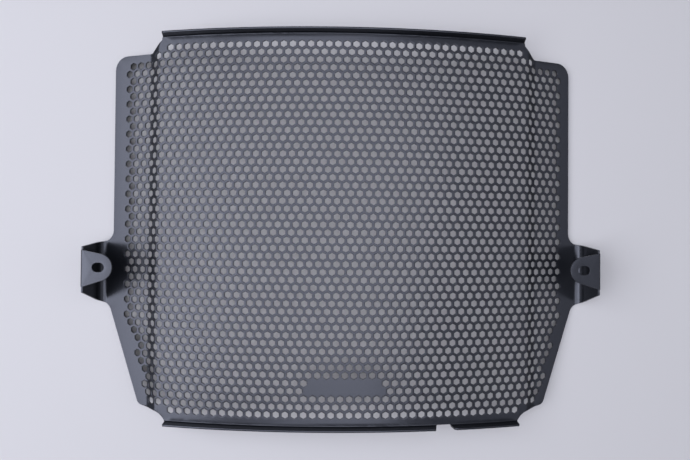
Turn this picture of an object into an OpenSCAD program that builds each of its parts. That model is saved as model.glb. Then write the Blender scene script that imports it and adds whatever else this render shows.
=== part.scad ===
/* [Sheet] */
// Thickness of the sheet
sheet_t = 1.5; // [1:0.1:2.2]
// Radius that the middle of the sheet is rolled to
roll_r = 725; // [500:5:1200]
// Half of the rolled panel's length along its curve, up to the crease
panel_half = 146; // [135:1:156]
// Height of the panel between its two folded lips
panel_h = 302.2; // [296:0.2:330]

/* [Crease and wings] */
// Slope of the crease
crease_angle = 30; // [22:1:40]
// Flat length of the crease between its two bends
crease_flat = 5.5; // [2:0.5:9]
// Inside radius of the crease's bends
crease_r = 11.5; // [5:0.5:16]
// Slope of the wings
wing_angle = 16; // [10:1:20]
// How far the brackets' walls stand out from the wings' outer edges
wall_stand = 13; // [11:0.1:16]
// Height of the wings' top edge above the middle of the panel
wing_top = 138.6; // [120:0.2:142]
// Radius of the wings' outer top corners
wing_corner_r = 11; // [3:0.5:20]
// Half width of the panel where the edge slants down from the top lip
notch_x = 153.6; // [150:0.2:160]
// Radius at the foot of that slant
notch_r = 3; // [1:0.5:4]

/* [Lower corners] */
// How far outside the wing's edge the slanted side edge leaves the bracket's foot
side_step = 3.6; // [1:0.1:5]
// Half width where the slanted side edge ends
foot_x = 162.9; // [158:0.1:170]
// Distance of that corner below the middle of the panel
foot_y = 140.4; // [136:0.1:144]
// Radius of that corner
foot_r = 5; // [1:0.5:8]
// Slope of the short edge between that corner and the bottom lip
foot_slope = 13; // [5:1:18]
// Radius that runs from the short edge into the bottom lip's end
relief_r = 12; // [6:0.5:14]

/* [Lips] */
// Height of the lips above the panel's upper face
lip_h = 7.5; // [4:0.1:14]
// Inside radius of the lips' fold
lip_r = 1; // [0.5:0.1:2.5]
// Half length of the top lip
top_lip_half = 144.2; // [138:0.1:146]
// Distance from the middle of the panel at which the top slant starts
top_lip_foot = 148.6; // [147.5:0.1:150]
// Half length of the bottom lip
low_lip_half = 140.4; // [132:0.1:144]
// Radius of the lips' free corners
lip_corner_r = 1.5; // [0.5:0.1:3]
// Square end of the notch in the bottom lip, from the middle
gap_start = 73.8; // [40:0.1:80]
// Width of that notch at the fold
gap_w = 11.9; // [6:0.1:20]
// How much wider that notch is at the free edge, on its slanted side
gap_flare = 1.5; // [0:0.1:4]
// Radius of the lip's free corner on that side
gap_corner_r = 3; // [0.5:0.1:4]

/* [Holes] */
// Distance between neighbouring holes
hole_pitch = 12; // [11:0.5:24]
// Width across the flats of a hole
hole_af = 8.8; // [4:0.1:9.5]
// Land between the holes and the edge of the sheet or the fold of a lip
edge_land = 5.5; // [4:0.1:10]
// Half width of the blank patch
patch_half = 30; // [20:1:80]
// Upper edge of the blank patch, below the middle of the panel
patch_top = 113.5; // [90:0.5:116]
// Lower edge of the blank patch, below the middle of the panel
patch_foot = 128.9; // [122:0.1:140]

/* [Brackets] */
// Upper edge of a bracket's foot, below the middle of the panel
foot_top = 11.5; // [4:0.1:14]
// Lower edge of a bracket's foot, below the middle of the panel
foot_low = 60.5; // [54:0.1:70]
// Radius from the wing's outer edge into the bracket's foot
bracket_fillet = 9; // [3:0.5:12]
// Inside radius of the bend between wing and wall
wall_r = 4; // [2:0.1:6]
// Upper edge of the wall's free end, below the middle of the panel
wall_top = 15.1; // [14:0.1:17]
// Lower edge of the wall's free end, below the middle of the panel
wall_low = 49.5; // [47:0.1:54]

/* [Ears] */
// Height of the ears' middle above the crown's middle
ear_rise = 0; // [-6:0.5:12]
// Inside radius of the bend between wall and ear
ear_bend_r = 0.5; // [0.3:0.1:1.5]
// Upper edge of an ear's root, below the middle of the panel
ear_top = 18; // [17:0.1:20]
// Lower edge of an ear's root, below the middle of the panel
ear_low = 45.5; // [42:0.1:47]
// Distance between the slots' centres
slot_spacing = 372; // [362:0.5:382]
// Distance from a slot's centre to the outer face of the bracket's wall
ear_reach = 13.4; // [13:0.1:17]
// Distance of the slots below the middle of the panel
slot_y = 30.7; // [29:0.1:33]
// Width of a slot
slot_w = 7; // [5:0.1:8.5]
// Length of a slot, end to end
slot_len = 9; // [8.6:0.1:12]
// Radius of an ear's nose, round the slot's centre
nose_r = 11; // [9:0.1:12]

/* [Hidden] */
$fn = 96;
corner_steps = 6;
bend_steps = 2;
wall_steps = 7;
lap = 1;
half_t = sheet_t / 2;
panel_angle = panel_half / roll_r * 180 / PI;
crease_mid_r = crease_r + half_t;
wall_mid_r = wall_r + half_t;
ear_mid_r = ear_bend_r + half_t;
wall_x = slot_spacing / 2 + ear_reach;
wing_x = wall_x - wall_stand;
side_x = wing_x + side_step;
wall_mid_x = wall_x - half_t;
lip_line = panel_h / 2;
beyond = 5;

// The sheet's middle line as [x, z, slope], measured from the crown
function arc_point(a) = [roll_r * sin(a), -roll_r * (1 - cos(a)), a];
function straight_on(p, len) = [p[0] + len * cos(p[2]), p[1] - len * sin(p[2]), p[2]];
function bend_down(p, a) = [
    p[0] + crease_mid_r * (sin(a) - sin(p[2])),
    p[1] - crease_mid_r * (cos(p[2]) - cos(a)), a];
function bend_up(p, a) = [
    p[0] + crease_mid_r * (sin(p[2]) - sin(a)),
    p[1] - crease_mid_r * (cos(a) - cos(p[2])), a];
panel_end = arc_point(panel_angle);
crease_start = bend_down(panel_end, crease_angle);
crease_end = straight_on(crease_start, crease_flat);
wing_start = bend_up(crease_end, wing_angle);
// The wing stays flat up to the bend of the bracket's wall
bend_x = wall_mid_x - wall_mid_r * (1 + sin(wing_angle));
wing_len = (bend_x - wing_start[0]) / cos(wing_angle);
wing_end = straight_on(wing_start, wing_len);
bend_centre = [bend_x + wall_mid_r * sin(wing_angle), wing_end[1] + wall_mid_r * cos(wing_angle)];
// The guard lies on the undersides of its two bracket bends
crown_z = wall_mid_r + half_t - bend_centre[1];
ear_z = crown_z + ear_rise;
ear_bend_z = ear_z - ear_mid_r;

// Lengths along the sheet, and the place that a length reaches
down_len = crease_mid_r * (crease_angle - panel_angle) * PI / 180;
up_len = crease_mid_r * (crease_angle - wing_angle) * PI / 180;
s_flat = panel_half + down_len;
s_up = s_flat + crease_flat;
s_wing = s_up + up_len;
function place(s) =
    s < panel_half ? arc_point(s / roll_r * 180 / PI) :
    s < s_flat ? bend_down(panel_end, panel_angle + (s - panel_half) / crease_mid_r * 180 / PI) :
    s < s_up ? straight_on(crease_start, s - s_flat) :
    s < s_wing ? bend_up(crease_end, crease_angle - (s - s_up) / crease_mid_r * 180 / PI) :
    straight_on(wing_start, s - s_wing);

// The rolled panel is set out in flats that meet on the columns of holes,
// half outside its curve and half inside
flat_len = 2 * hole_pitch;
flats = floor((panel_half - hole_pitch) / flat_len);
flat_out = flat_len * flat_len / roll_r / 16;
function on_roll(a) = [(roll_r + flat_out) * sin(a), (roll_r + flat_out) * cos(a) - roll_r, a];
function on_wall_bend(a) = [
    bend_centre[0] + wall_mid_r * cos(a),
    bend_centre[1] + wall_mid_r * sin(a), -90 - a];
middle_line = concat(
    [for (k = [0:flats]) on_roll(flat_len * k / roll_r * 180 / PI)],
    [panel_end],
    [for (k = [1:bend_steps])
        bend_down(panel_end, panel_angle + (crease_angle - panel_angle) * k / bend_steps)],
    [crease_end],
    [for (k = [1:bend_steps])
        bend_up(crease_end, crease_angle + (wing_angle - crease_angle) * k / bend_steps)],
    [for (k = [0:wall_steps]) on_wall_bend((90 + wing_angle) * (k / wall_steps - 1))],
    [[wall_mid_x, bend_centre[1] + lap, -90]]
);

// Small helpers for outlines
function reversed(list) = [for (k = [len(list) - 1:-1:0]) list[k]];
function flipped(list) = [for (p = reversed(list)) concat([-p[0]], [for (k = [1:len(p) - 1]) p[k]])];
function from(list, first) = [for (k = [first:len(list) - 1]) list[k]];
function face(p, off) = [p[0] + off * sin(p[2]), p[1] + off * cos(p[2])];
function unit(v) = v / norm(v);
function flat(p) = [p[0], p[1]];

// The arc that rounds the corner b between a and c, where b is [x, y, radius]
function corner(a, b, c) =
    let(
        back = unit(flat(a) - flat(b)),
        on = unit(flat(c) - flat(b)),
        half = acos(back * on) / 2,
        run = b[2] / tan(half),
        centre = flat(b) + unit(back + on) * b[2] / sin(half),
        first = flat(b) + back * run - centre,
        last = flat(b) + on * run - centre,
        turn = (180 - 2 * half) * sign(cross(first, last)),
        a0 = atan2(first[1], first[0])
    )
    [for (k = [0:corner_steps])
        centre + b[2] * [cos(a0 + turn * k / corner_steps), sin(a0 + turn * k / corner_steps)]];
function rounded(list) = [
    for (k = [0:len(list) - 1])
        for (p = list[k][2] == 0 ? [flat(list[k])] :
            corner(list[(k + len(list) - 1) % len(list)], list[k], list[(k + 1) % len(list)]))
            p];

// The outline seen from above, right half, from the top lip to the bottom lip
wing_side = [
    [top_lip_half, top_lip_foot, 0],
    [notch_x, wing_top, notch_r],
    [wing_x, wing_top, wing_corner_r]];
bracket_side = [
    [wing_x, -foot_top, bracket_fillet],
    [wall_x + beyond, -foot_top, 0],
    [wall_x + beyond, -foot_low, 0],
    [side_x, -foot_low, bracket_fillet]];
relief_y = foot_y + (foot_x - low_lip_half) * tan(foot_slope);
lower_side = [
    [foot_x, -foot_y, foot_r],
    [low_lip_half, -relief_y, relief_r],
    [low_lip_half, -relief_y - relief_r - beyond, 0]];
right_half = concat([[top_lip_half, lip_line + beyond, 0]], wing_side, bracket_side, lower_side);
blank_outline = rounded(concat(right_half, flipped(right_half)));
// The same outline without the brackets, which is what the holes keep clear of
side_turn = foot_low + (side_x - wing_x) * (foot_y - foot_low) / (side_x - foot_x);
field_half = concat([[top_lip_half, lip_line, 0]], wing_side, [[wing_x, -side_turn, 0]], lower_side);
field_edge = rounded(field_half);

// Rows of holes, offset by half a pitch from one to the next
row_h = hole_pitch * sqrt(3) / 2;
land = edge_land + hole_af / 2;
rows = 2 * floor((lip_line - land) / row_h + 1 / 2);
half_columns = ceil((wing_x + beyond) / hole_pitch * 2);
function off_segment(p, a, b) =
    let(on = max(0, min(1, (p - a) * (b - a) / ((b - a) * (b - a)))))
    norm(p - a - on * (b - a));
function clear_of_edge(p) =
    min([for (k = [0:len(field_edge) - 2]) off_segment(p, field_edge[k], field_edge[k + 1])]) >= land;
function in_patch(x, y) = x < patch_half && -y > patch_top && -y < patch_foot;

module hexagonal_hole(s, side, y) {
    p = place(s);
    translate([side * p[0], y])
        polygon([for (k = [0:5]) [sin(60 * k) * cos(p[2]), cos(60 * k)] * hole_af / sqrt(3)]);
}

module perforation() {
    for (k = [0:rows - 1])
        for (i = [-half_columns:half_columns]) {
            s = abs(i) * hole_pitch / 2;
            y = (k - (rows - 1) / 2) * row_h;
            x = place(s)[0];
            in_row = (abs(i) + k) % 2 == 0;
            if (in_row && x < wing_x && clear_of_edge([x, y]) && !in_patch(x, y))
                hexagonal_hole(s, i < 0 ? -1 : 1, y);
        }
}

// The rolled panel, both creases, both flat wings and the bends under the brackets, as one long strip
module rolled_strip() {
    upper = [for (p = middle_line) face(p, half_t)];
    lower = [for (p = middle_line) face(p, -half_t)];
    other_lower = [for (p = from(lower, 1)) [-p[0], p[1]]];
    translate([0, lip_line - lip_r - lap, 0])
        rotate([90, 0, 0])
            linear_extrude(2 * (lip_line - lip_r - lap))
                polygon(concat(flipped(from(upper, 1)), upper, reversed(lower), other_lower));
}

// A lip with its fold, revolved about the axis of the roll
module lip(half) {
    turn = asin((half + beyond) / roll_r);
    fold_r = roll_r + half_t + lip_r;
    translate([0, 0, -roll_r])
        rotate([-90, 0, 0])
            rotate([0, 0, -90 - turn])
                rotate_extrude(angle = 2 * turn, $fn = 720) {
                    translate([roll_r - half_t, lip_line - lip_r - 2 * lap])
                        square([sheet_t, 2 * lap]);
                    translate([fold_r, lip_line])
                        square([lip_h - lip_r, sheet_t]);
                    translate([fold_r, lip_line - lip_r])
                        intersection() {
                            difference() {
                                circle(lip_r + sheet_t);
                                circle(lip_r);
                            }
                            translate([-lip_r - sheet_t, 0])
                                square(lip_r + sheet_t);
                        }
                }
}

// What rounds a free corner of a lip at x, on its outer or its inner side, down to where the end leans to
module free_corner(x, side, radius, lean) {
    edge_r = roll_r + half_t + lip_h;
    slope = asin(x / edge_r);
    tip = [x, edge_r * cos(slope) - roll_r];
    arc = corner(tip + side * lip_h * [-cos(slope), sin(slope)], concat(tip, [radius]), tip - [lean, lip_h]);
    translate([0, lip_line + sheet_t + lap, 0])
        rotate([90, 0, 0])
            linear_extrude(sheet_t + 2 * lap)
                polygon(concat([tip + radius * [side, 1]], arc));
}

// The notch in the bottom lip, square at one end and slanted at the other, down through the fold
module lip_gap() {
    top_r = roll_r + half_t + lip_h;
    foot_of_gap = roll_r - half_t;
    function at(x, r) = [x, sqrt(r * r - x * x) - roll_r];
    flare = gap_flare / lip_h;
    gap_end = gap_start + gap_w;
    translate([0, lip_line + sheet_t + lap, 0])
        rotate([90, 0, 0])
            linear_extrude(lip_r + sheet_t + lap)
                polygon([
                    at(gap_start, foot_of_gap - lap),
                    at(gap_end - flare * lap, foot_of_gap - lap),
                    at(gap_end + gap_flare + flare * (sheet_t + lap), top_r + lap),
                    at(gap_start, top_r + lap)]);
    free_corner(gap_start, 1, lip_corner_r, 0);
    free_corner(gap_end + gap_flare + flare * sheet_t, -1, gap_corner_r, gap_flare);
}

module lips() {
    difference() {
        lip(top_lip_half);
        both_sides()
            free_corner(top_lip_half, 1, lip_corner_r, 0);
    }
    mirror([0, 1, 0])
        difference() {
            lip(low_lip_half);
            both_sides()
                free_corner(low_lip_half, 1, lip_corner_r, 0);
            lip_gap();
        }
}

// A ring sector of sheet, for a bend that ends level with its centre
module bend(mid_r, from_angle, to_angle) {
    reach = 3 * (mid_r + sheet_t);
    middle = (from_angle + to_angle) / 2;
    intersection() {
        difference() {
            circle(mid_r + half_t);
            circle(mid_r - half_t);
        }
        polygon([[0, 0], reach * [cos(from_angle), sin(from_angle)], reach * [cos(middle), sin(middle)],
            reach * [cos(to_angle), sin(to_angle)]]);
    }
}

// The tapered wall folded up from the wing, and the bend into the ear
module bracket_wall() {
    wall_end = ear_bend_z - crown_z;
    wall_foot = crown_z + bend_centre[1] + lap;
    intersection() {
        translate([0, -foot_top + beyond, 0])
            rotate([90, 0, 0])
                linear_extrude(foot_low - foot_top + 2 * beyond) {
                    translate([wall_mid_x - half_t, bend_centre[1]])
                        square([sheet_t, wall_end - bend_centre[1]]);
                    translate([wall_mid_x - ear_mid_r, wall_end])
                        bend(ear_mid_r, 0, 90);
                }
        translate([bend_x, 0, -crown_z])
            rotate([90, 0, 90])
                linear_extrude(wall_x - bend_x + beyond)
                    polygon([[-foot_low, wall_foot - lap], [-foot_low, wall_foot], [-wall_low, ear_bend_z],
                        [-ear_low, ear_bend_z], [-ear_low, ear_z + sheet_t], [-ear_top, ear_z + sheet_t],
                        [-ear_top, ear_bend_z], [-wall_top, ear_bend_z], [-foot_top, wall_foot],
                        [-foot_top, wall_foot - lap]]);
    }
}

// Where a line from p touches the ear's nose, on the side that turn names
function touch(p, turn) =
    let(
        centre = [slot_spacing / 2, -slot_y],
        away = p - centre,
        a = atan2(away[1], away[0]) + turn * acos(nose_r / norm(away))
    )
    centre + nose_r * [cos(a), sin(a)];

// The flat ear over the wing, with its slot for the bolt
module ear() {
    root_x = wall_mid_x - ear_mid_r;
    high = [root_x, -ear_top];
    low = [root_x, -ear_low];
    translate([0, 0, ear_rise - half_t])
        linear_extrude(sheet_t)
            difference() {
                union() {
                    polygon([high, touch(high, 1), [slot_spacing / 2, -slot_y], touch(low, -1), low]);
                    translate([slot_spacing / 2, -slot_y])
                        circle(nose_r);
                }
                translate([slot_spacing / 2, -slot_y]) {
                    square([slot_len - slot_w, slot_w], center = true);
                    for (end = [-1, 1])
                        translate([end * (slot_len - slot_w) / 2, 0])
                            circle(slot_w / 2);
                }
            }
}

module both_sides() {
    for (side = [0, 1])
        mirror([side, 0, 0])
            children();
}

module guard_sheet() {
    color([0.13, 0.13, 0.14])
        translate([0, 0, crown_z]) {
            intersection() {
                union() {
                    rolled_strip();
                    lips();
                    both_sides()
                        bracket_wall();
                }
                translate([0, 0, -crown_z - 1])
                    linear_extrude(crown_z + ear_rise + lip_h + beyond) {
                        difference() {
                            polygon(blank_outline);
                            perforation();
                        }
                    }
            }
            both_sides()
                ear();
        }
}

guard_sheet();
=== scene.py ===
import math

import bpy
import numpy as np
from bpy.props import FloatProperty, FloatVectorProperty, IntProperty, PointerProperty, StringProperty
from mathutils import Euler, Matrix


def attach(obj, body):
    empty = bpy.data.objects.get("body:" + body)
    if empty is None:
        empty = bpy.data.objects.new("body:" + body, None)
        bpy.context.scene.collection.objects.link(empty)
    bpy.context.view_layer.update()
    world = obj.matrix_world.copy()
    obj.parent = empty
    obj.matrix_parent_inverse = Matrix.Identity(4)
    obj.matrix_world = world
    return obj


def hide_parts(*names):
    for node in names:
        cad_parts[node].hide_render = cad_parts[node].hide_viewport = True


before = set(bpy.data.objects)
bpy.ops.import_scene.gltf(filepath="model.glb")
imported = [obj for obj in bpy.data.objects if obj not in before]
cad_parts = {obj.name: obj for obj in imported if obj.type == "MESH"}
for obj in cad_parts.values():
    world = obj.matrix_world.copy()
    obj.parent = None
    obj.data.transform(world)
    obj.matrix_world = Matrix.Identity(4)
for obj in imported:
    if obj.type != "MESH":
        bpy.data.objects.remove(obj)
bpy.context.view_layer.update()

bl_info = {
    "name": "Motorcycle radiator guard",
    "version": (1, 0, 0),
    "blender": (4, 5, 0),
    "location": "View3D > Sidebar > Radiator guard",
    "description": "Perforated, rolled and folded sheet guard with a satin black powder coat",
    "category": "Object",
}

# how finely curves are set out: steps of a rounded corner, a slot's end, an ear's nose, and each kind of bend
CORNER_STEPS = 6
SLOT_STEPS = 12
NOSE_STEPS = 20
LIP_STEPS = 4
CREASE_STEPS = 4
WALL_STEPS = 10
EAR_STEPS = 5

# how many samples the slope is summed over, along the whole sheet and between two fold lines
PATH_SAMPLES = 4000
SLOPE_SAMPLES = 64

# how often the search for a length halves its step, and how many metres past the last fold line the slope
# is read
HALVINGS = 40
LAST_REACH = 0.01

# distances in metres at which points count as one, when cells are joined and after the fold lines are cut
CELL_WELD = 0.00001
CUT_WELD = 0.00003

# distances in metres within which a point lies on the plane of a cut, or on a fold line
ON_CUT = 0.000002
ON_FOLD = 0.000003

# faces of one cell of the pattern, the six of its rim and its middle, and the marks that tell them apart
CELL_FACES = 7
MARKS = ("metal", "opening")

# without a window the rotate operator turns the other way
TURN = -1

# edges sharper than the first are cut edges, which the coat rounds: faces that meet flatter than the second
# look smooth
CUT_EDGE_ANGLE = math.radians(70)
SMOOTH_ANGLE = math.radians(50)

# where rows of holes end, in half pitches from the field's middle, for the rows that stop short: rows count
# downwards from the middle one, and the left end is given where it differs from the right
ROW_ENDS = {
    -24: 40, -23: 43, -22: 50,
    13: 49, 14: 48, 15: 49, 16: 48, 17: 47, 18: 46, 19: 47, 20: 46, 21: 45, 22: 44, 23: 39}
LEFT_ROW_ENDS = {15: 47, 19: 45}

# each lamp's name, its place, its width across the guard and length along it in metres, and its power's name
LAMPS = (
    ("left_lamp", (-1.15, 0.0, 1.0), 0.9, 1.6, "left_power"),
    ("upper_lamp", (-0.15, 0.06, 1.45), 1.6, 1.6, "top_power"),
    ("right_lamp", (1.1, 0.0, 1.0), 1.2, 1.5, "right_power"),
)


def mm(name, description, value):
    """A length of the guard, given in millimetres."""
    return FloatProperty(name=name, description=description, default=value / 1000, unit="LENGTH", precision=5)


def degrees(name, description, value):
    """An angle of the guard, given in degrees."""
    return FloatProperty(name=name, description=description, default=math.radians(value), subtype="ANGLE")


class SheetSizes(bpy.types.PropertyGroup):
    """Sizes of the rolled and folded sheet."""

    thickness: mm("Sheet", "Thickness of the sheet", 1.5)
    roll_radius: mm("Roll", "Radius that the sheet's middle is rolled to", 725)
    panel_half: mm("Panel", "Half of the rolled panel along its curve, up to the crease", 146)
    lip_line: mm("Lip line", "Distance of the lips' inner faces from the middle of the panel", 151.1)
    crease_angle: degrees("Crease slope", "Slope of the flat in the crease", 30)
    crease_flat: mm("Crease flat", "Flat length between the crease's two bends", 5.5)
    crease_radius: mm("Crease bends", "Inside radius of the crease's bends", 11.5)
    wing_angle: degrees("Wing slope", "Slope of the wings", 16)
    wing_x: mm("Wing edge", "Half width over the wings' outer edges", 186.8)
    wing_top: mm("Wing top", "Height of the wings' top edge above the panel's middle", 139)
    wing_corner: mm("Wing corner", "Radius of the wings' top corners", 11)
    notch_x: mm("Slant end", "Half width where the slant from the top lip ends", 153.6)
    notch_radius: mm("Slant foot", "Radius at the foot of that slant", 3)
    side_x: mm("Side start", "Half width where the slanted side edge leaves the bracket", 190)
    foot_x: mm("Side end", "Half width where the slanted side edge ends", 162.9)
    foot_y: mm("Side end depth", "Distance of that corner below the panel's middle", 140.4)
    foot_radius: mm("Side corner", "Radius of that corner", 5)
    foot_slope: degrees("Short edge", "Slope of the edge from that corner to the bottom lip", 13)
    relief_radius: mm("Relief", "Radius from the short edge into the bottom lip's end", 12)
    edge_round: mm("Edge", "Radius of the sheet's cut edges under the coat", 0.22)


class LipSizes(bpy.types.PropertyGroup):
    """Sizes of the lips along the panel's top and bottom."""

    height: mm("Lip", "Height of the lips above the panel's upper face", 7.5)
    fold_radius: mm("Fold", "Inside radius of the lips' fold", 1)
    top_half: mm("Top lip", "Half length of the top lip at its fold", 144.9)
    top_foot: mm("Top lip foot", "Height at which the slant beside the top lip starts", 148.6)
    low_half: mm("Bottom lip", "Half length of the bottom lip at its fold", 140.7)
    lean: mm("Lean", "How far a lip's end leans back from its fold to its free edge", 2.2)
    corner: mm("Free corners", "Radius of the lips' free corners", 1.5)
    gap_left: mm("Notch, left", "Left end of the notch in the bottom lip, at the fold", 73.0)
    gap_right: mm("Notch, right", "Right end of that notch, at the fold", 83.9)
    gap_left_lean: mm("Notch lean, left", "How far the notch's left end leans out at the free edge", 2.0)
    gap_right_lean: mm("Notch lean, right", "How far the notch's right end leans out at the free edge", 1.9)
    gap_corner: mm("Notch corner", "Radius of the lip's free corner on the notch's right", 3)
    gap_foot: mm("Notch foot", "Distance of the notch's foot below the panel's middle", 150.9)
    gap_foot_corner: mm("Notch foot corner", "Radius of the notch's inner corners", 0.6)


class HoleSizes(bpy.types.PropertyGroup):
    """Sizes of the field of hexagonal holes."""

    pitch: mm("Pitch", "Distance between neighbouring holes", 7)
    flats: mm("Across flats", "Width across the flats of a hole", 4.9)
    shift_x: mm("Shift across", "How far the field lies off the panel's middle, across", 1.45)
    shift_y: mm("Shift along", "How far the field lies off the panel's middle, along", -3.0)
    row_count: IntProperty(name="Rows", description="Rows of holes", default=48)
    column_count: IntProperty(name="Columns", description="Holes in the longest rows", default=52)
    patch_low: IntProperty(
        name="Patch row", description="First row of the blank patch, from the field's middle", default=19)
    patch_half: IntProperty(
        name="Patch", description="Half columns from the patch's middle to its side", default=8)


class BracketSizes(bpy.types.PropertyGroup):
    """Sizes of the side brackets and their ears."""

    foot_top: mm("Foot top", "Upper edge of a bracket's foot, below the panel's middle", 10.2)
    foot_low: mm("Foot low", "Lower edge of a bracket's foot, below the panel's middle", 62.3)
    fillet: mm("Fillet", "Radius from the wing's edge into a bracket's foot", 9)
    wall_x: mm("Wall", "Distance from the middle to the outer face of a wall", 199.4)
    wall_radius: mm("Wall bend", "Inside radius of the bend between wing and wall", 5)
    wall_top: mm("Wall top", "Upper edge of a wall's free end, below the panel's middle", 14.8)
    wall_low: mm("Wall low", "Lower edge of a wall's free end, below the panel's middle", 50)
    ear_radius: mm("Ear bend", "Inside radius of the bend between wall and ear", 0.5)
    ear_top: mm("Ear top", "Upper edge of an ear's root, below the panel's middle", 17.5)
    ear_low: mm("Ear low", "Lower edge of an ear's root, below the panel's middle", 45.5)
    slot_x: mm("Slot", "Distance of a slot from the middle", 186)
    slot_y: mm("Slot depth", "Distance of a slot below the panel's middle", 30.7)
    slot_width: mm("Slot width", "Width of a slot", 7)
    slot_length: mm("Slot length", "Length of a slot, end to end", 9)
    nose: mm("Nose", "Radius of an ear's nose", 10.5)


class CoatLook(bpy.types.PropertyGroup):
    """The powder coat's colour and surface."""

    colour: StringProperty(name="Colour", description="Colour of the coat, as sRGB hex", default="#141517")
    roughness: FloatProperty(
        name="Roughness", description="Roughness of the coat", default=0.25, subtype="FACTOR")
    ior: FloatProperty(name="IOR", description="Refractive index of the coat", default=1.56)
    peel: mm("Orange peel", "Size of the coat's fine waves", 1.1)
    peel_depth: mm("Peel depth", "Depth of those waves", 0.012)


class StageLook(bpy.types.PropertyGroup):
    """The table, the light and the camera."""

    table: StringProperty(name="Table", description="Colour of the table, as sRGB hex", default="#c4bfb4")
    table_size: FloatProperty(
        name="Table size", description="Length of the table's sides", default=2.4, unit="LENGTH")
    table_roughness: FloatProperty(
        name="Table roughness", description="Roughness of the table", default=0.85, subtype="FACTOR")
    table_ior: FloatProperty(
        name="Table IOR", description="Refractive index of the table's paint", default=1.45)
    light: StringProperty(name="Light", description="Colour of the light, as sRGB hex", default="#dfe5ff")
    left_power: FloatProperty(
        name="Left lamp", description="Power of the lamp on the left", default=19, unit="POWER")
    top_power: FloatProperty(
        name="Upper lamp", description="Power of the lamp above", default=25.5, unit="POWER")
    right_power: FloatProperty(
        name="Right lamp", description="Power of the fill on the right", default=3.8, unit="POWER")
    world: FloatProperty(name="World", description="Strength of the light all round", default=0.12)
    place: FloatVectorProperty(
        name="Camera place", description="Where the camera stands", subtype="TRANSLATION", unit="LENGTH",
        default=(-0.00794, -0.0059376, 0.4142218))
    turn: FloatVectorProperty(
        name="Camera turn", description="Camera's turns about X, Y and Z, in the order Z, Y, X",
        subtype="EULER", default=(0.01241, -0.02362, 0.008467))
    shift: FloatVectorProperty(
        name="Shift", description="Half a pixel, as the photograph's frame needs", size=2,
        default=(-0.5 / 690, 0.5 / 690))
    lens: FloatProperty(name="Lens", description="Focal length of the camera", default=26.087, unit="CAMERA")
    sensor: FloatProperty(name="Sensor", description="Width of the camera's film", default=36, unit="CAMERA")
    near: FloatProperty(
        name="Near", description="Distance at which the camera's view starts", default=0.01, unit="LENGTH")


# selecting in edit mode
def clear_selection():
    """Leaves edit mode and deselects every object."""
    if bpy.context.mode != "OBJECT":
        bpy.ops.object.mode_set(mode="OBJECT")
    bpy.ops.object.select_all(action="DESELECT")


def pick(piece, kind, chosen):
    """Opens a mesh in edit mode with only the chosen vertices, edges or faces selected."""
    if bpy.context.mode != "OBJECT":
        bpy.ops.object.mode_set(mode="OBJECT")
    bpy.context.tool_settings.mesh_select_mode = [kind == word for word in ("vertices", "edges", "polygons")]
    for word in ("vertices", "edges", "polygons"):
        parts = getattr(piece.data, word)
        parts.foreach_set("select", np.zeros(len(parts), bool) if word != kind else np.asarray(chosen, bool))
    bpy.ops.object.mode_set(mode="EDIT")


def pick_all(piece):
    """Opens a mesh in edit mode with all of it selected."""
    pick(piece, "vertices", np.ones(len(piece.data.vertices)))


def points(piece):
    """A mesh's vertices as an array."""
    if bpy.context.mode != "OBJECT":
        bpy.ops.object.mode_set(mode="OBJECT")
    flat = np.empty(3 * len(piece.data.vertices))
    piece.data.vertices.foreach_get("co", flat)
    return flat.reshape(-1, 3)


def centres(piece):
    """A mesh's face centres as an array."""
    flat = np.empty(3 * len(piece.data.polygons))
    piece.data.polygons.foreach_get("center", flat)
    return flat.reshape(-1, 3)


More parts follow.
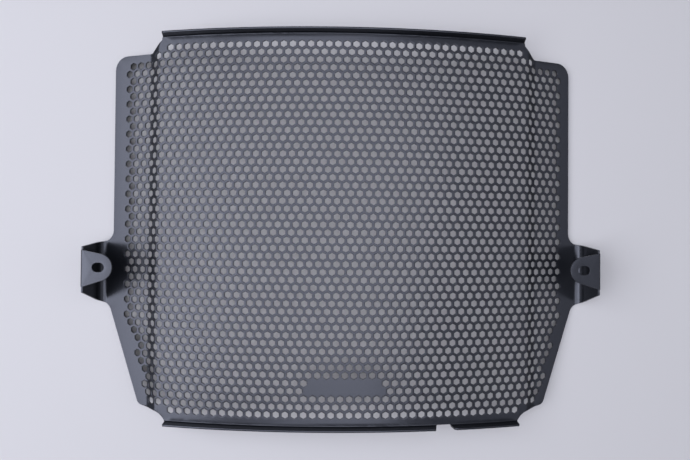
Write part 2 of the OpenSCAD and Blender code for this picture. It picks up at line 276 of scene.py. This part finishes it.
# the sheet along its length
class Profile:
    """The slope of the sheet's middle line along its length, on either side of the crown."""

    def __init__(self, size, bracket):
        half = size.thickness / 2
        crease = size.crease_radius + half
        wall_bend = bracket.wall_radius + half
        ear_bend = bracket.ear_radius + half
        panel_slope = size.panel_half / size.roll_radius
        s_crease = size.panel_half + crease * (size.crease_angle - panel_slope)
        s_flat = s_crease + size.crease_flat
        self.s_wing = s_flat + crease * (size.crease_angle - size.wing_angle)
        corners = [(0.0, 0.0), (size.panel_half, panel_slope), (s_crease, size.crease_angle),
                   (s_flat, size.crease_angle), (self.s_wing, size.wing_angle)]
        self.at, self.slope = np.array(corners).T
        self.x_wing = self.place(self.s_wing)[0]
        self.wing_angle = size.wing_angle

        # the wing runs straight on to the bend of the bracket's wall, whose lowest point lies on the table
        bend_x = bracket.wall_x - half - wall_bend * (1 + math.sin(size.wing_angle))
        s_bend = self.s_wing + (bend_x - self.x_wing) / math.cos(size.wing_angle)
        s_wall = s_bend + wall_bend * (math.pi / 2 + size.wing_angle)
        corners += [(s_bend, size.wing_angle), (s_wall, -math.pi / 2)]
        bend_z = self.place(s_bend)[1] + wall_bend * math.cos(size.wing_angle)
        self.crown = wall_bend + half - bend_z
        self.s_fold = s_wall + self.crown - ear_bend - wall_bend - half
        self.s_ear = self.s_fold + ear_bend * math.pi / 2
        corners += [(self.s_fold, -math.pi / 2), (self.s_ear, -math.pi)]
        self.at, self.slope = np.array(corners).T
        self.x_ear = bracket.wall_x - half - ear_bend
        self.bends = (
            split(size.panel_half, s_crease, CREASE_STEPS) + split(s_flat, self.s_wing, CREASE_STEPS)
            + split(s_bend, s_wall, WALL_STEPS) + split(self.s_fold, self.s_ear, EAR_STEPS))

    def place(self, s):
        """Where a length along the sheet lies, as x and as height over the crown."""
        mids = (np.arange(PATH_SAMPLES) + 0.5) / PATH_SAMPLES * s
        slope = np.interp(mids, self.at, self.slope)
        return float(np.cos(slope).mean() * s), float(-np.sin(slope).mean() * s)

    def length_to(self, x):
        """The length along the sheet that reaches a given x, anywhere short of the bracket's bend."""
        if x > self.x_wing:
            return self.s_wing + (x - self.x_wing) / math.cos(self.wing_angle)
        low, high = 0.0, self.s_wing
        for _ in range(HALVINGS):
            middle = (low + high) / 2
            low, high = (middle, high) if self.place(middle)[0] < x else (low, middle)
        return (low + high) / 2

    def mean_slope(self, start, end):
        """The mean slope between two lengths."""
        starts = np.linspace(start, end, SLOPE_SAMPLES + 1)[:-1]
        return float(np.interp(starts + (end - start) / (2 * SLOPE_SAMPLES), self.at, self.slope).mean())


def split(start, end, count):
    """The fold lines of a bend that is folded in equal steps."""
    return [start + (k + 0.5) * (end - start) / count for k in range(count)]


# the flat blank
def chain(corners, name):
    """A closed loop of edges, drawn by extruding one vertex, with its corners (x, y, radius) then rounded."""
    # of a small plane only one vertex is kept
    clear_selection()
    bpy.ops.mesh.primitive_plane_add(size=0.001, location=(0, 0, 0))
    loop = bpy.context.object
    loop.name = name
    pick(loop, "vertices", [False, True, True, True])
    bpy.ops.mesh.delete(type="VERT")
    pick(loop, "vertices", [True])
    spot = loop.data.vertices[0].co.copy()
    for x, y, _ in corners:
        step = (x - spot.x, y - spot.y, 0)
        if (x, y) == corners[0][:2]:
            bpy.ops.transform.translate(value=step)
        else:
            bpy.ops.mesh.extrude_vertices_move(TRANSFORM_OT_translate={"value": step})
        spot.x, spot.y = x, y
    where = points(loop)
    pick(loop, "vertices", [k in (0, len(where) - 1) for k in range(len(where))])
    bpy.ops.mesh.edge_face_add()
    for k, (x, y, radius) in enumerate(corners):
        if radius:
            back = np.array(corners[k - 1][:2]) - (x, y)
            on = np.array(corners[(k + 1) % len(corners)][:2]) - (x, y)
            half = math.acos(back @ on / np.linalg.norm(back) / np.linalg.norm(on)) / 2
            near = np.hypot(*(points(loop)[:, :2] - (x, y)).T)
            pick(loop, "vertices", near == near.min())
            bpy.ops.mesh.bevel(
                offset=radius / math.tan(half), segments=CORNER_STEPS, profile=0.5, affect="VERTICES")
    clear_selection()
    return loop


def outline_corners(size, lip, bracket, line):
    """The blank's corners as (length, y, radius), clockwise from the right end of the top lip's free edge."""
    half = size.thickness / 2
    fold = lip.fold_radius + half
    free = size.lip_line - lip.fold_radius + fold * math.pi / 2 + lip.height - lip.fold_radius

    def on_lip(x, rise):
        """The length that reaches x on a lip at a height over the sheet's middle, as the lip fans out."""
        return line.length_to(size.roll_radius * math.sin(math.asin(x / (size.roll_radius + rise))))

    edge = half + lip.height
    relief = size.foot_y + (size.foot_x - lip.low_half) * math.tan(size.foot_slope)
    slot = line.s_ear + line.x_ear - bracket.slot_x
    right = [
        (on_lip(lip.top_half - lip.lean, edge), free, lip.corner),
        (on_lip(lip.top_half, half), size.lip_line - lip.fold_radius, 0),
        (line.length_to(lip.top_half), lip.top_foot, 0),
        (line.length_to(size.notch_x), size.wing_top, size.notch_radius),
        (line.length_to(size.wing_x), size.wing_top, size.wing_corner),
        (line.length_to(size.wing_x), -bracket.foot_top, bracket.fillet),
        (line.s_fold, -bracket.wall_top, 0),
        (line.s_fold, -bracket.ear_top, 0),
        (line.s_ear, -bracket.ear_top, 0),
    ]

    # the ear's sides run from its root to where they touch the nose
    centre = np.array((slot, -bracket.slot_y))
    ends = []
    for corner, turn in (((line.s_ear, -bracket.ear_top), -1), ((line.s_ear, -bracket.ear_low), 1)):
        away = np.array(corner) - centre
        ends.append(math.atan2(away[1], away[0]) + turn * math.acos(bracket.nose / np.hypot(*away)))
    first, last = ends[0] % (2 * math.pi), ends[1] % (2 * math.pi)
    for k in range(NOSE_STEPS + 1):
        angle = first + (last - 2 * math.pi - first) * k / NOSE_STEPS
        right.append((
            slot + bracket.nose * math.cos(angle), -bracket.slot_y + bracket.nose * math.sin(angle), 0))
    right += [
        (line.s_ear, -bracket.ear_low, 0),
        (line.s_fold, -bracket.ear_low, 0),
        (line.s_fold, -bracket.wall_low, 0),
        (line.length_to(size.side_x), -bracket.foot_low, bracket.fillet),
        (line.length_to(size.foot_x), -size.foot_y, size.foot_radius),
        (line.length_to(lip.low_half), -relief, size.relief_radius),
        (on_lip(lip.low_half - lip.lean, edge), -free, lip.corner),
    ]
    left = [(-s, y, radius) for s, y, radius in reversed(right)]
    gap = [
        (on_lip(lip.gap_right + lip.gap_right_lean, edge), -free, lip.gap_corner),
        (on_lip(lip.gap_right, half), -lip.gap_foot, lip.gap_foot_corner),
        (on_lip(lip.gap_left, half), -lip.gap_foot, lip.gap_foot_corner),
        (on_lip(lip.gap_left - lip.gap_left_lean, edge), -free, lip.corner),
    ]
    return right + gap + left


def last_column(row, column, most):
    """How far a row of holes runs from the middle, in half pitches, as the edge of the sheet leaves room."""
    if column < 0 and row in LEFT_ROW_ENDS:
        return LEFT_ROW_ENDS[row]
    return ROW_ENDS.get(row, most)


def perforated_field(hole):
    """The lattice of hexagonal cells: one cell, inset, repeated both ways, and cut back to the pattern."""
    clear_selection()
    row_height = hole.pitch * math.sqrt(3) / 2
    bpy.ops.mesh.primitive_circle_add(vertices=6, radius=hole.pitch / math.sqrt(3), fill_type="NGON")
    field = bpy.context.object
    field.name = "guard"
    pick(field, "polygons", [True])
    bpy.ops.mesh.inset(thickness=(hole.pitch - hole.flats) / 2)
    clear_selection()
    field.select_set(True)
    for name in MARKS:
        field.data.materials.append(bpy.data.materials.new(name))
    columns, pairs = hole.column_count, hole.row_count // 2
    for count, x, y in (
            (2, hole.pitch / 2, row_height), (columns, hole.pitch, 0), (pairs, 0, 2 * row_height)):
        array = field.modifiers.new("array", "ARRAY")
        array.count = count
        array.use_relative_offset = False
        array.use_constant_offset = True
        array.constant_offset_displace = (x, y, 0)
        bpy.ops.object.modifier_apply(modifier="array")
    pick_all(field)
    first_x = hole.shift_x - (columns // 2 - 0.5) * hole.pitch
    first_y = hole.shift_y - (hole.row_count // 2 - 1) * row_height
    bpy.ops.transform.translate(value=(first_x, first_y, 0))
    bpy.ops.object.mode_set(mode="OBJECT")
    faces = centres(field)
    cells = faces.reshape(-1, CELL_FACES, 3).mean(axis=1)
    across = np.rint((cells[:, 0] - hole.shift_x) / (hole.pitch / 2)).astype(int)
    rows = np.rint((hole.shift_y - cells[:, 1]) / row_height).astype(int)
    outside = np.array([abs(i) > last_column(j, i, columns - 1) for j, i in zip(rows, across)])
    patch = np.array([
        j in (hole.patch_low, hole.patch_low + 1) and abs(i) <= hole.patch_half
        for j, i in zip(rows, across)])
    off_centre = (faces.reshape(-1, CELL_FACES, 3) - cells[:, None])[:, :, :2]
    middles = np.hypot(*off_centre.transpose(2, 0, 1)) < hole.pitch / 100
    field.data.polygons.foreach_set("material_index", (middles & ~patch[:, None]).ravel().astype(np.int32))
    pick(field, "polygons", np.repeat(outside, CELL_FACES))
    bpy.ops.mesh.delete(type="FACE")
    pick_all(field)
    bpy.ops.mesh.remove_doubles(threshold=CELL_WELD)
    bpy.ops.object.mode_set(mode="OBJECT")
    return field


def slot_corners(bracket, line, side):
    """The slot's loop in the flat ear, as corners."""
    middle = line.s_ear + line.x_ear - bracket.slot_x
    radius = bracket.slot_width / 2
    reach = bracket.slot_length / 2 - radius
    corners = []
    for end in (1, -1):
        for k in range(SLOT_STEPS + 1):
            angle = math.radians(end * 90 - 180 / SLOT_STEPS * k)
            corners.append((
                side * (middle + end * reach + radius * math.cos(angle)),
                -bracket.slot_y + radius * math.sin(angle), 0))
    return corners


def cut_along(piece, lines, axis):
    """Cuts the blank along straight fold lines."""
    pick_all(piece)
    for line in lines:
        bpy.ops.mesh.select_all(action="SELECT")
        spot, normal = [0.0, 0.0, 0.0], [0.0, 0.0, 0.0]
        spot[axis], normal[axis] = line, 1.0
        bpy.ops.mesh.bisect(plane_co=spot, plane_no=normal, threshold=ON_CUT)
    bpy.ops.object.mode_set(mode="OBJECT")


def fold(piece, flat, axis, line, angle):
    """Folds all that lies beyond a line of the flat blank about that line."""
    beyond = (flat[:, axis] > line) if line > 0 else (flat[:, axis] < line)
    beyond &= abs(flat[:, axis] - line) > ON_FOLD
    pick(piece, "vertices", beyond)
    centre = [0.0, 0.0, 0.0]
    centre[axis] = line
    bpy.ops.transform.rotate(value=TURN * angle, orient_axis="YX"[axis], center_override=centre)
    bpy.ops.object.mode_set(mode="OBJECT")


class GUARD_OT_sheet(bpy.types.Operator):
    """Cuts the perforated blank, rolls and folds it, and gives it its thickness and its coat"""

    bl_idname = "guard.sheet"
    bl_label = "Perforated sheet"

    def execute(self, context):
        scene = context.scene
        size, lip, hole, bracket = scene.guard_sheet, scene.guard_lip, scene.guard_hole, scene.guard_bracket
        line = Profile(size, bracket)
        piece = perforated_field(hole)
        loops = [chain(outline_corners(size, lip, bracket, line), "outline")]
        loops += [chain(slot_corners(bracket, line, side), "slot") for side in (1, -1)]

        # field, outline and slots become one mesh, and the sheet between their rims is filled in
        clear_selection()
        for loop in loops:
            loop.select_set(True)
        piece.select_set(True)
        context.view_layer.objects.active = piece
        bpy.ops.object.join()
        pick(piece, "vertices", np.zeros(len(piece.data.vertices)))
        bpy.ops.mesh.select_non_manifold(
            extend=False, use_wire=True, use_boundary=True, use_multi_face=False, use_non_contiguous=False,
            use_verts=False)
        bpy.ops.mesh.fill(use_beauty=True)

        # fold lines: the roll turns a little on every half pitch, and a bend turns in a few equal steps
        half_pitch = hole.pitch / 2
        roll = np.arange(-hole.column_count, hole.column_count + 1) * half_pitch + hole.shift_x
        roll = [s for s in roll if abs(s) < size.panel_half - half_pitch / 4]
        lines = roll + line.bends + [-s for s in line.bends]
        lip_start = size.lip_line - lip.fold_radius
        lip_arc = (lip.fold_radius + size.thickness / 2) * math.pi / 2
        lip_folds = split(lip_start, lip_start + lip_arc, LIP_STEPS)
        cut_along(piece, lines, 0)
        cut_along(piece, lip_folds + [-y for y in lip_folds], 1)
        index = np.empty(len(piece.data.polygons), np.int32)
        piece.data.polygons.foreach_get("material_index", index)
        pick(piece, "polygons", index == MARKS.index("opening"))
        bpy.ops.mesh.delete(type="FACE")
        pick_all(piece)
        bpy.ops.mesh.remove_doubles(threshold=CUT_WELD)
        bpy.ops.mesh.select_all(action="SELECT")
        bpy.ops.mesh.normals_make_consistent(inside=False)

        # folding goes from the outermost line inwards, so that each line still lies flat when its turn comes
        flat = points(piece)
        for y in reversed(lip_folds):
            fold(piece, flat, 1, y, math.pi / 2 / LIP_STEPS)
            fold(piece, flat, 1, -y, -math.pi / 2 / LIP_STEPS)
        for side in (1, -1):
            own = sorted(abs(s) for s in lines if s * side > 0)
            stops = own + [own[-1] + LAST_REACH]
            before = 0.0
            steps = []
            for start, end in zip(stops[:-1], stops[1:]):
                after = line.mean_slope(start, end)
                steps.append((start, after - before))
                before = after
            for start, step in reversed(steps):
                fold(piece, flat, 0, side * start, side * step)
        pick_all(piece)
        bpy.ops.transform.translate(value=(0, 0, line.crown))
        clear_selection()
        piece.select_set(True)
        context.view_layer.objects.active = piece

        # the thickness grows to both sides of the folded sheet, and the coat rounds its cut edges
        wall = piece.modifiers.new("thickness", "SOLIDIFY")
        wall.thickness = size.thickness
        wall.offset = 0
        wall.use_even_offset = True
        bpy.ops.object.modifier_apply(modifier="thickness")
        edge = piece.modifiers.new("edge", "BEVEL")
        edge.width = size.edge_round
        edge.segments = 1
        edge.limit_method = "ANGLE"
        edge.angle_limit = CUT_EDGE_ANGLE
        edge.use_clamp_overlap = False
        bpy.ops.object.modifier_apply(modifier="edge")
        bpy.ops.object.shade_smooth_by_angle(angle=SMOOTH_ANGLE)
        even = piece.modifiers.new("even", "WEIGHTED_NORMAL")
        even.keep_sharp = True
        bpy.ops.object.modifier_apply(modifier="even")
        piece.data.materials.clear()
        for name in MARKS:
            bpy.data.materials.remove(bpy.data.materials[name])
        piece.data.materials.append(powder_coat(scene.guard_coat))
        piece.name = "perforated_sheet"
        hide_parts("guard_sheet")
        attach(piece, "root")
        return {"FINISHED"}


# materials
def linear(code):
    """An sRGB hex colour as linear values."""
    values = [int(code[k:k + 2], 16) / 255 for k in (1, 3, 5)]
    return [v / 12.92 if v <= 0.04045 else ((v + 0.055) / 1.055) ** 2.4 for v in values] + [1.0]


def add(tree, kind, settings=None, links=None):
    """Adds a node, with its settings by name and its inputs by name or number, each a value or a socket."""
    node = tree.nodes.new(kind)
    for name, value in (settings or {}).items():
        setattr(node, name, value)
    for name, value in (links or {}).items():
        if isinstance(value, bpy.types.NodeSocket):
            tree.links.new(value, node.inputs[name])
        else:
            node.inputs[name].default_value = value
    return node


def blank_material(name):
    """A material and its node tree, with no node in it yet."""
    material = bpy.data.materials.new(name)
    material.use_nodes = True
    material.node_tree.nodes.clear()
    return material, material.node_tree


def powder_coat(look):
    """Satin black polyester powder, baked on: it flows to a skin with faint waves and a broad, soft sheen."""
    material, tree = blank_material("satin_black_powder_coat")
    place = add(tree, "ShaderNodeTexCoord").outputs["Object"]
    peel = add(tree, "ShaderNodeTexNoise", {"noise_dimensions": "3D"}, {
        "Vector": place, "Scale": 1 / look.peel, "Detail": 2.0, "Roughness": 0.5})
    bump = add(tree, "ShaderNodeBump", None, {
        "Strength": 1.0, "Distance": look.peel_depth, "Height": peel.outputs["Fac"]})
    shader = add(tree, "ShaderNodeBsdfPrincipled", None, {
        "Base Color": linear(look.colour), "Roughness": look.roughness, "IOR": look.ior,
        "Normal": bump.outputs["Normal"]})
    add(tree, "ShaderNodeOutputMaterial", None, {"Surface": shader.outputs["BSDF"]})
    return material


def painted_table(look):
    """Painted table top, pale and faintly warm, and matt: under the cool light it looks nearly white."""
    material, tree = blank_material("matt_table_top")
    shader = add(tree, "ShaderNodeBsdfPrincipled", None, {
        "Base Color": linear(look.table), "Roughness": look.table_roughness, "IOR": look.table_ior})
    add(tree, "ShaderNodeOutputMaterial", None, {"Surface": shader.outputs["BSDF"]})
    return material


# the stage
class GUARD_OT_stage(bpy.types.Operator):
    """Sets up the table, the light and the camera"""

    bl_idname = "guard.stage"
    bl_label = "Table, light and camera"

    def execute(self, context):
        look = context.scene.guard_stage
        clear_selection()
        bpy.ops.object.camera_add(location=look.place)
        camera = context.object
        camera.name = "camera"
        camera.rotation_mode = "ZYX"
        camera.rotation_euler = Euler(look.turn, "ZYX")
        camera.data.sensor_width = look.sensor
        camera.data.lens = look.lens
        camera.data.clip_start = look.near
        camera.data.shift_x, camera.data.shift_y = look.shift
        context.scene.camera = camera

        clear_selection()
        bpy.ops.mesh.primitive_plane_add(size=look.table_size)
        table = context.object
        table.name = "table_top"
        table.data.materials.append(painted_table(look))

        for name, place, across, along, power in LAMPS:
            clear_selection()
            bpy.ops.object.light_add(type="AREA", location=place)
            lamp = context.object
            lamp.name = name
            lamp.data.shape = "RECTANGLE"
            lamp.data.size = along
            lamp.data.size_y = across
            lamp.data.energy = getattr(look, power)
            lamp.data.color = linear(look.light)[:3]
            lamp.rotation_euler = (-lamp.location).to_track_quat("-Z", "Y").to_euler()

        world = bpy.data.worlds.new("studio")
        context.scene.world = world
        world.use_nodes = True
        background = world.node_tree.nodes["Background"]
        background.inputs["Color"].default_value = linear(look.light)
        background.inputs["Strength"].default_value = look.world
        context.scene.view_settings.view_transform = "Standard"
        return {"FINISHED"}


class GUARD_PT_panel(bpy.types.Panel):
    """Lists the steps that build the guard"""

    bl_label = "Radiator guard"
    bl_idname = "GUARD_PT_panel"
    bl_space_type = "VIEW_3D"
    bl_region_type = "UI"
    bl_category = "Radiator guard"

    def draw(self, context):
        for operator in (GUARD_OT_stage, GUARD_OT_sheet):
            self.layout.operator(operator.bl_idname)


CLASSES = (SheetSizes, LipSizes, HoleSizes, BracketSizes, CoatLook, StageLook,
           GUARD_OT_stage, GUARD_OT_sheet, GUARD_PT_panel)
GROUPS = {"guard_sheet": SheetSizes, "guard_lip": LipSizes, "guard_hole": HoleSizes,
          "guard_bracket": BracketSizes, "guard_coat": CoatLook, "guard_stage": StageLook}


def register():
    for kind in CLASSES:
        bpy.utils.register_class(kind)
    for name, group in GROUPS.items():
        setattr(bpy.types.Scene, name, PointerProperty(type=group))


def unregister():
    for name in GROUPS:
        delattr(bpy.types.Scene, name)
    for kind in reversed(CLASSES):
        bpy.utils.unregister_class(kind)


def main():
    """Builds the whole scene."""
    register()
    bpy.ops.guard.stage()
    bpy.ops.guard.sheet()


if __name__ == "__main__":
    main()
